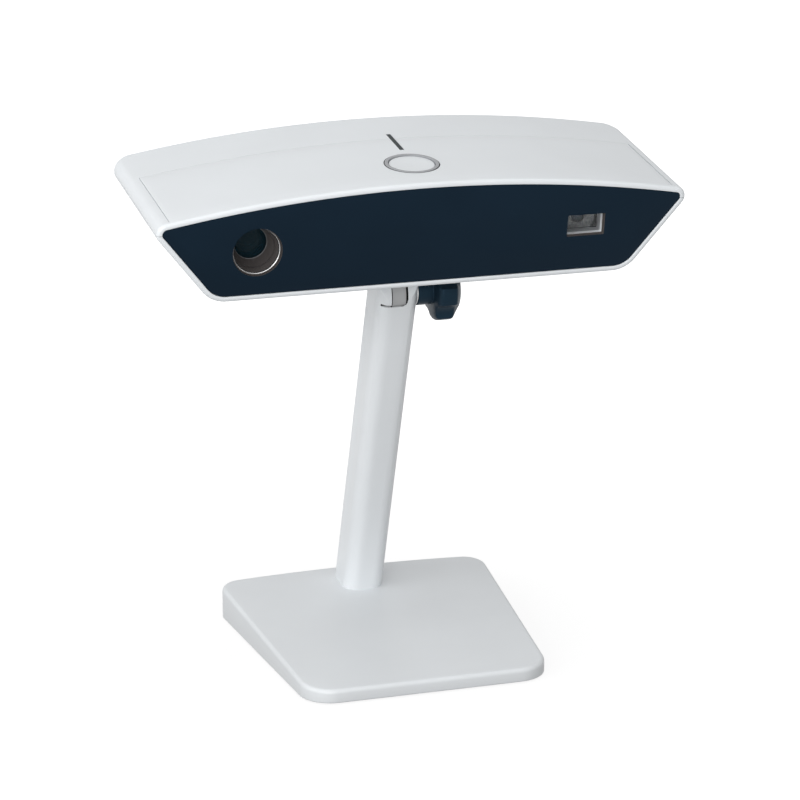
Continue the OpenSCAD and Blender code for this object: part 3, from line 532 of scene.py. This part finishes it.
def makeUpperShell():
    cup = keepSide(headCup(), head["tipHeight"] + head["seam"] / 2, True)
    shell = addPiece("upperShellPiece", cup, atHead, "head", "shell_white", ("upper_shell",))
    reach = cover["halfWidth"] + cover["sideGap"]
    seat = [(x, archZ(x, cover["thick"])) for x in [(k / 30 - 1) * reach for k in range(61)]]
    seat += [(reach, cutReach["above"]), (-reach, cutReach["above"])]
    front, back = cover["front"] - cover["frontGap"], cover["back"] + cover["backGap"]
    cutAway(shell, [prism(seat, front, back, "Y")], atHead)
    cutAway(shell, [buttonCut(), lightCut()], atHead)
    refinish(shell, "shadow_gap", atHead, buttonWall)


def makeTopCover():
    # a thin arched plate, its upper edge rounded all round
    edge, half, front, back = cover["edge"], cover["halfWidth"], cover["front"], cover["back"]
    steps = [0, 0.1, 0.3, 0.6, 1]

    def gridLines(low, high, count):
        middle = [low + edge + (high - low - 2 * edge) * k / count for k in range(1, count)]
        last = [high - edge * step for step in reversed(steps)]
        return [low + edge * step for step in steps] + middle + last

    def edgeDrop(x, y):
        near = min(x + half, half - x, y - front, back - y)
        return 0 if near >= edge else edge - sqrt(max(edge ** 2 - (edge - near) ** 2, 0))

    xs, ys = gridLines(-half, half, 72), gridLines(front, back, 8)
    bm = bmesh.new()
    top = [[bm.verts.new((x, y, archZ(x) - edgeDrop(x, y))) for y in ys] for x in xs]
    low = [[bm.verts.new((x, y, archZ(x, cover["thick"] - 0.05))) for y in ys] for x in xs]
    for a in range(len(xs) - 1):
        for b in range(len(ys) - 1):
            bm.faces.new((top[a][b], top[a + 1][b], top[a + 1][b + 1], top[a][b + 1]))
            bm.faces.new((low[a][b + 1], low[a + 1][b + 1], low[a + 1][b], low[a][b]))
        bm.faces.new((low[a][0], low[a + 1][0], top[a + 1][0], top[a][0]))
        bm.faces.new((top[a][-1], top[a + 1][-1], low[a + 1][-1], low[a][-1]))
    for b in range(len(ys) - 1):
        bm.faces.new((top[0][b], top[0][b + 1], low[0][b + 1], low[0][b]))
        bm.faces.new((low[-1][b], low[-1][b + 1], top[-1][b + 1], top[-1][b]))
    plate = addPiece("topCoverPiece", bm, atHead, "head", "shell_white", ("top_cover",))
    cutAway(plate, [buttonCut(), lightCut()], atHead)
    refinish(plate, "shadow_gap", atHead, buttonWall)


panel = {"gap": 0.12, "setBack": 0.6, "thick": 3, "edge": 0.3}


def makeFrontPanel():
    edge, setBack, inset = panel["edge"], panel["setBack"], head["wall"] + panel["gap"]
    rings = [frontRing(inset + edge * (1 - sin(turn)), setBack + edge * (1 - cos(turn)))
             for turn in quarterTurns(3)]
    rings.append(frontRing(inset, setBack + panel["thick"]))
    piece = addPiece("frontPanelPiece", loftRings(rings), atHead, "head", "panel_navy", ("front_panel",))
    gap = optics["gap"]
    opening = boxAbout(optics["projectorX"], optics["z"], optics["windowWidth"] + 2 * gap,
                       optics["windowHeight"] + 2 * gap, optics["windowCorner"])
    hole = circleOutline(optics["cameraX"], optics["cameraZ"], optics["ring"] + gap, 128)
    cutAway(piece, [prism(outline, *cutReach["front"], "Y") for outline in (hole, opening)], atHead)

    def holeWall(point):
        fromCamera = sqrt((point.x - optics["cameraX"]) ** 2 + (point.z - optics["cameraZ"]) ** 2)
        aside, up = abs(point.x - optics["projectorX"]), abs(point.z - optics["z"])
        nearWindow = aside < optics["windowWidth"] / 2 + 0.5 and up < optics["windowHeight"] / 2 + 0.55
        return fromCamera < optics["ring"] + 0.2 or nearWindow

    refinish(piece, "blackened", atHead, holeWall)


makeLowerShell()
makeUpperShell()
makeTopCover()
makeFrontPanel()
print("head shells, cover and panel made")


def frontAt(z):
    # where the head's leaning front lies at this height
    return head["frontY"] + (head["tipHeight"] - z) * sin(radians(head["frontLean"]))


# turned pieces are drawn along Z: this lays them down with their front towards the viewer
alongY = Matrix.Rotation(radians(90), 4, "X")
cameraSpot = (optics["cameraX"], frontAt(optics["cameraZ"]), optics["cameraZ"])
projectorSpot = (optics["projectorX"], frontAt(optics["z"]), optics["z"])
atCamera = atHead @ Matrix.Translation(cameraSpot) @ alongY
atProjector = atHead @ Matrix.Translation(projectorSpot)

# heights run out of the head, with 0 at its front plane
lens = {
    "ring": [(14.65, -9), (14.65, -3.1), (14.5, -2.95), (13.85, -2.95), (13.72, -3.05), (13.42, -3.5),
             (13.2, -4.1), (12.1, -8.8), (12.1, -9)],
    "lipOuter": 13.84, "lipDeep": -4.0,
    "barrel": [(0.01, -38), (12, -38), (12, -9.05), (9.95, -16.6), (9.9, -16.75), (9.65, -17.05), (9.6, -19),
               (8.2, -19.2), (8.0, -21), (6.9, -21.3), (6.7, -23), (5.2, -23.4), (5, -26), (0.01, -26)],
    "cone": (-16.6, -9), "rimDeep": -17.06, "boreInner": 11.5,
    "glassRadius": 9.55, "glassFront": -17.4, "glassBack": -18.9, "dome": 1.1,
}


def makeLens():
    ring = addPiece("lensRingPiece", turned(lens["ring"], 128, False), atCamera, "head", "ring_metal",
                    ("lens_ring",))
    refinish(ring, "blackened", atCamera,
             lambda point: point.xy.length > lens["lipOuter"] or point.z < lens["lipDeep"])
    piece = addPiece("cameraBarrelPiece", turned(lens["barrel"], 128), atCamera, "head", "dark_metal",
                     ("camera_barrel",))
    refinish(piece, "shadow_gap", atCamera,
             lambda point: point.xy.length < lens["boreInner"] and point.z < lens["rimDeep"])
    # the chamfer round the glass takes a lighter grey, a painted highlight for its bright edge
    refinish(piece, "cover_grey", atCamera, lambda point: lens["rimDeep"] < point.z < lens["cone"][0])
    refinish(piece, "blackened", atCamera, lambda point: lens["cone"][0] < point.z < lens["cone"][1])
    radius, front = lens["glassRadius"], lens["glassFront"]
    dome = [(radius * cos(turn), front + lens["dome"] * sin(turn)) for turn in quarterTurns(9)[:-1]]
    glass = [(0.01, lens["glassBack"]), (radius, lens["glassBack"])] + dome + [(0.01, front + lens["dome"])]
    addPiece("lensGlassPiece", turned(glass), atCamera, "head", "lens_glass", ("lens_glass",))


window = {
    "front": 2.9, "back": 12, "wall": 0.8, "lip": 3, "glassFront": 10.7, "glassEdge": 0.15,
    "collar": [(0.01, -22), (10, -22), (10, -14.4), (9.7, -14.1), (5.5, -14.1), (4.9, -14.7), (4.1, -14.9),
               (4.1, -16.2)],
    "eye": 4.05, "eyeDepth": -16.4, "eyeDome": 1.5,
}


def makeWindow():
    width, height, wall = optics["windowWidth"], optics["windowHeight"], window["wall"]
    outer = boxAbout(0, 0, width, height, 0.6)
    inner = boxAbout(0, 0, width - 2 * wall, height - 2 * wall, 0.4)
    front, back = window["front"], window["back"]
    corners = [(inner, back), (outer, back), (outer, front), (inner, front), (inner, front + window["lip"])]
    rings = [[(x, y, z) for x, z in outline] for outline, y in corners]
    bezel = addPiece("windowBezelPiece", loftRings(rings, False), atProjector, "head", "ring_metal",
                     ("window_bezel",), edge=0.1)
    refinish(bezel, "blackened", atProjector, lambda point: point.y < front + 0.1)

    def innerWall(point):
        return point.y > front + 0.1 and abs(point.x) < width / 2 - 0.3 and abs(point.z) < height / 2 - 0.3

    refinish(bezel, "surround_grey", atProjector, innerWall)
    refinish(bezel, "shell_white", atProjector,
             lambda point: innerWall(point) and point.y < front + window["lip"])
    edge = window["glassEdge"]
    pane = boxAbout(0, 0, width - 2 * wall - 0.04, height - 2 * wall - 0.04, 0.38)
    small = boxAbout(0, 0, width - 2 * wall - 2 * edge, height - 2 * wall - 2 * edge, 0.3)
    corners = [(small, window["glassFront"]), (pane, window["glassFront"] + edge), (pane, back - 0.05)]
    rings = [[(x, y, z) for x, z in outline] for outline, y in corners]
    glass = addPiece("windowGlassPiece", loftRings(rings), atProjector, "head", "lens_glass",
                     ("window_glass",))
    glass.data.materials[0] = finishes["window_glass"]
    eye = [(window["eye"] * cos(turn), window["eyeDepth"] + window["eyeDome"] * sin(turn))
           for turn in quarterTurns(6)[:-1]]
    shape = turned(window["collar"] + eye + [(0.01, window["eyeDepth"] + window["eyeDome"])])
    atLens = atProjector @ alongY
    piece = addPiece("projectorLensPiece", shape, atLens, "head", "dark_metal", ("projector_lens",))
    refinish(piece, "lens_collar", atLens, lambda point: point.xy.length > window["eye"] + 0.1)
    refinish(piece, "panel_navy", atLens, lambda point: point.xy.length < window["eye"] and point.z > -17)


push = {
    "collarLow": -11, "floor": -9.5, "hole": 4, "round": 0.45, "lift": 0.4,
    "stem": 3, "stemLow": -10.6, "capLow": -3.25, "capHigh": -0.3, "capRound": 0.6, "dish": 0.36,
}


def makeButton():
    place = atHead @ Matrix.Translation((0, button["y"], head["crown"]))
    outer, inner = button["surround"], button["radius"] + button["gap"]
    edge, lift = push["round"], push["lift"]
    collar = [(push["hole"], push["collarLow"]), (outer, push["collarLow"])]
    collar += [(outer - edge + edge * cos(turn), lift * sin(turn))
               for turn in map(radians, (0, 20, 45, 70, 90))]
    collar += [(inner + edge - edge * sin(turn), lift * cos(turn))
               for turn in map(radians, (0, 25, 50, 75, 90))]
    collar += [(inner, push["floor"]), (push["hole"], push["floor"])]
    ring = addPiece("buttonSurroundPiece", turned(collar, 128, False), place, "head", "surround_grey",
                    ("button_surround",))
    # the surround's outer wall in the gap is painted near-black as shade
    refinish(ring, "shadow_gap", place, lambda point: point.xy.length > outer - 0.1 and point.z < 0)
    radius, high, bend, stem = button["radius"], push["capHigh"], push["capRound"], push["stem"]
    cap = [(0.01, push["stemLow"]), (stem - 0.2, push["stemLow"]), (stem, push["stemLow"] + 0.2),
           (stem, push["capLow"])]
    cap += [(radius - 0.2, push["capLow"]), (radius, push["capLow"] + 0.25)]
    cap += [(radius - bend + bend * cos(turn), high - bend + bend * sin(turn)) for turn in quarterTurns(6)]
    cap += [(radius * share, high - push["dish"] * (1 - share)) for share in (0.75, 0.5, 0.25, 0.001)]
    addPiece("powerButtonPiece", turned(cap, 128), place, "button", "shell_white", ("power_button",))


def makeStatusLight():
    top, edge = head["crown"] - light["sink"], light["edge"]
    levels = [(0, head["crown"] - light["depth"]), (0, top - edge), (edge, top)]
    rings = [[(x, y, level) for x, y in lightOutline(light["gap"] + inset)] for inset, level in levels]
    addPiece("statusLightPiece", loftRings(rings), atHead, "head", "light_dark", ("status_light",))


makeLens()
makeWindow()
makeButton()
makeStatusLight()
print("optics, button and light made")

# the clamp knob, turned about X: lobes between round flutes, on a plain neck
knob = {
    "radius": 19.5, "lobes": 5, "fluteRadius": 9.75, "fluteDepth": 3.9, "fluteTurn": 38.5,
    "profile": [(5.05, 30), (5.05, 14.05), (9.1, 14.05), (9.4, 14.35), (9.4, 23.2), (9.8, 23.55),
                (14.6, 23.85), (17.2, 24.4), (18.6, 25.2), (19.3, 26.1), (19.5, 27.2), (19.5, 34.2),
                (19.3, 34.9), (18.7, 35.6), (13.6, 38.9), (12.9, 39.25), (12.2, 39.35), (6, 39.3),
                (0.01, 39.25)],
}


def knobTurns():
    # turns round the knob, with a point on both corners of every flute
    reach = knob["radius"] - knob["fluteDepth"] + knob["fluteRadius"]
    cornerCos = (reach ** 2 + knob["radius"] ** 2 - knob["fluteRadius"] ** 2) / (2 * reach * knob["radius"])
    corner = 90 - degrees(asin(cornerCos))
    pitch = 360 / knob["lobes"]
    turns = []
    offsets = [corner * (k / 8 - 1) for k in range(16)]
    offsets += [corner + (pitch - 2 * corner) * k / 12 for k in range(12)]
    for lobe in range(knob["lobes"]):
        for offset in offsets:
            depth = knob["radius"]
            if offset < corner:
                swing = radians(offset)
                depth = reach * cos(swing) - sqrt(knob["fluteRadius"] ** 2 - (reach * sin(swing)) ** 2)
            turns.append((radians(knob["fluteTurn"] + lobe * pitch + offset), depth))
    return turns


def makeKnob():
    turns = knobTurns()
    rings = [[(along, -min(radius, depth) * sin(turn), min(radius, depth) * cos(turn))
              for turn, depth in turns] for radius, along in knob["profile"]]
    addPiece("clampKnobPiece", loftRings(rings), atColumn, "knob", "knob_navy", ("clamp_knob",),
             smooth=26, edge=0.35)


makeKnob()

# carried-over solids and how far each one's edges are broken, in millimetres
softEdges = {
    "column": 0.5, "clamp_cheek": 0.45, "pivot_cap": 0.4, "head_bracket": 0.5, "knob_washer": 0.15,
    "pivot_bolt": 0.2, "friction_washers": 0.08, "base_cover": 0.3, "base_screws": 0.15, "grip_pad": 0.3,
    "shell_screws": 0.25, "power_socket": 0.25, "usb_socket": 0.25, "fan_frame": 0.25, "fan_rotor": 0.15,
    "heat_sink": 0.2, "projector_engine": 0.5, "camera_holder": 0.4,
}
cheekGroove = {"left": -14, "right": -4.95, "front": -16.5, "back": -12.4, "low": -0.9, "high": 0.4}
jointGaps = {"cheekInner": -5.05, "slotRight": 5.45, "seatRadius": 15.1, "tongueRadius": 14.3,
             "tongueTrim": 0.35, "trimFront": -18, "trimBack": -9, "trimLow": -18, "trimHigh": 12}
carried = {name: fromNode(name, edge) for name, edge in softEdges.items()}
groove = boxOutline(cheekGroove["left"], cheekGroove["front"], cheekGroove["right"], cheekGroove["back"],
                    0.1, 1)
cheekPart, tonguePart = carried["clamp_cheek"], carried["head_bracket"]
cutAway(cheekPart, [prism(groove, cheekGroove["low"] - 0.2, cheekGroove["high"])], atColumn)
trim = jointGaps["tongueTrim"]
trimSides = [(tongue["left"] - 1, tongue["left"] + trim), (tongue["right"] - trim, tongue["right"] + 1)]
trimOutlines = [boxOutline(low, jointGaps["trimFront"], high, jointGaps["trimBack"], 0.1, 1)
                for low, high in trimSides]
cutAway(tonguePart, [prism(outline, jointGaps["trimLow"], jointGaps["trimHigh"])
                     for outline in trimOutlines], atJoint)


def fromAxis(point):
    return sqrt(point.y ** 2 + point.z ** 2)


def grooveFace(point):
    inGroove = cheekGroove["low"] - 0.1 < point.z < cheekGroove["high"] + 0.05
    return point.x > jointGaps["cheekInner"] or (inGroove and point.y < cheekGroove["back"] + 0.1)


# the narrow gaps round the cheek and the tongue lie in deep shade, which is painted on their faces as a
# near-black finish
refinish(cheekPart, "shadow_gap", atColumn, grooveFace)
refinish(carried["column"], "shadow_gap", atColumn,
         lambda point: fromAxis(point) < jointGaps["seatRadius"] and point.x < jointGaps["slotRight"])
# the tongue's front, set back under the head, is painted grey as the shade it lies in
refinish(tonguePart, "bracket_painted_shade", atJoint, lambda point: fromAxis(point) < jointGaps["tongueRadius"])
refinish(tonguePart, "shadow_gap", atJoint,
         lambda point: min(abs(point.x - tongue["left"]), abs(point.x - tongue["right"])) < trim + 0.05)
for name, node in nodes.items():
    if not node.hide_render:
        node.data.materials.clear()
        node.data.materials.append(finishes[slotOf[name]])
print("stand, knob and inner parts made")

# floor, light and camera
studio = {
    # floorTone darkens the floor near the base, a painted shade for the light it throws onto the base
    "worldFill": 0.435, "floorSize": 6, "floorTone": (0.15, 0.5), "toneReach": (0.1, 0.6),
    "lift": (0.88, 1.0), "liftReach": (0.3, 1.2), "floorRoughness": 0.9,
    "lamps": [
        {"name": "overheadLamp", "power": 6.7, "size": (1.8, 1.4), "place": (-0.3, -0.3, 1.9)},
        {"name": "frontHighLamp", "power": 11, "size": (1.4, 1.2), "place": (-1.0, -1.9, 1.5)},
        {"name": "frontLowLamp", "power": 20.3, "size": (1.6, 0.9), "place": (-0.9, -2.2, 0.5)},
        {"name": "leftLamp", "power": 15.8, "size": (1.4, 1.4), "place": (-2.0, -0.7, 1.0)},
    ],
    "aim": (0, 0, 0.2),
}
camera = {"eye": (-0.58585, -1.89041, 0.76407), "aim": (0, 0, 0.13), "sensor": 36, "lens": 153,
          "shift": (0.0147, 0.0559), "clip": (0.1, 60)}


def seenByEye(tree):
    # 1 for camera, glossy and transmitted rays, which see the white studio
    path = tree.nodes.new("ShaderNodeLightPath")
    seen = path.outputs["Is Camera Ray"]
    for ray in ("Is Glossy Ray", "Is Transmission Ray"):
        either = tree.nodes.new("ShaderNodeMath")
        either.operation = "MAXIMUM"
        tree.links.new(seen, either.inputs[0])
        tree.links.new(path.outputs[ray], either.inputs[1])
        seen = either.outputs["Value"]
    return seen


def makeWorld():
    world = bpy.data.worlds.new("studio")
    bpy.context.scene.world = world
    world.use_nodes = True
    tree = world.node_tree
    background = tree.nodes["Background"]
    background.inputs["Color"].default_value = (1, 1, 1, 1)
    strength = spread(tree, seenByEye(tree), studio["worldFill"], 1.0)
    tree.links.new(strength, background.inputs["Strength"])


def overFloor(tree, reach, levels):
    # a level that changes with the distance from the middle of the floor, in metres
    place = tree.nodes.new("ShaderNodeTexCoord")
    distance = tree.nodes.new("ShaderNodeVectorMath")
    distance.operation = "LENGTH"
    tree.links.new(place.outputs["Object"], distance.inputs[0])
    rise = tree.nodes.new("ShaderNodeMapRange")
    for name, value in zip(("From Min", "From Max", "To Min", "To Max"), (*reach, *levels)):
        rise.inputs[name].default_value = value
    tree.links.new(distance.outputs["Value"], rise.inputs["Value"])
    return rise.outputs["Result"]


def makeFloor():
    # the floor is white to the eye, and throws back less light near the base than farther out: its colour is
    # darker there, a painted shade for the base's sides
    size = studio["floorSize"]
    corners = [(-size, -size, 0), (size, -size, 0), (size, size, 0), (-size, size, 0)]
    mesh = bpy.data.meshes.new("floor")
    mesh.from_pydata(corners, [], [(0, 1, 2, 3)])
    floor = bpy.data.objects.new("floor", mesh)
    bpy.context.scene.collection.objects.link(floor)
    material, tree, shader = newFinish("floorWhite")
    tree.links.new(overFloor(tree, studio["toneReach"], studio["floorTone"]), shader.inputs["Base Color"])
    shader.inputs["Roughness"].default_value = studio["floorRoughness"]
    shader.inputs["Specular IOR Level"].default_value = 0.0
    shader.inputs["Emission Color"].default_value = (1, 1, 1, 1)
    lift = tree.nodes.new("ShaderNodeMath")
    lift.operation = "MULTIPLY"
    tree.links.new(seenByEye(tree), lift.inputs[0])
    tree.links.new(overFloor(tree, studio["liftReach"], studio["lift"]), lift.inputs[1])
    tree.links.new(lift.outputs["Value"], shader.inputs["Emission Strength"])
    mesh.materials.append(material)


def aimed(holder, place, aim):
    holder.location = place
    holder.rotation_mode = "QUATERNION"
    holder.rotation_quaternion = (Vector(aim) - Vector(place)).to_track_quat("-Z", "Y")
    bpy.context.scene.collection.objects.link(holder)


def makeLamps():
    for settings in studio["lamps"]:
        lamp = bpy.data.lights.new(settings["name"], "AREA")
        lamp.shape = "RECTANGLE"
        lamp.size, lamp.size_y = settings["size"]
        lamp.energy = settings["power"]
        aimed(bpy.data.objects.new(settings["name"], lamp), settings["place"], studio["aim"])


def makeCamera():
    eye = bpy.data.cameras.new("photoCamera")
    eye.sensor_width = camera["sensor"]
    eye.lens = camera["lens"]
    eye.shift_x, eye.shift_y = camera["shift"]
    eye.clip_start, eye.clip_end = camera["clip"]
    holder = bpy.data.objects.new("photoCamera", eye)
    aimed(holder, camera["eye"], camera["aim"])
    bpy.context.scene.camera = holder


makeWorld()
makeFloor()
makeLamps()
makeCamera()
bpy.context.scene.view_settings.view_transform = "Standard"
print("floor, lamps and camera set")
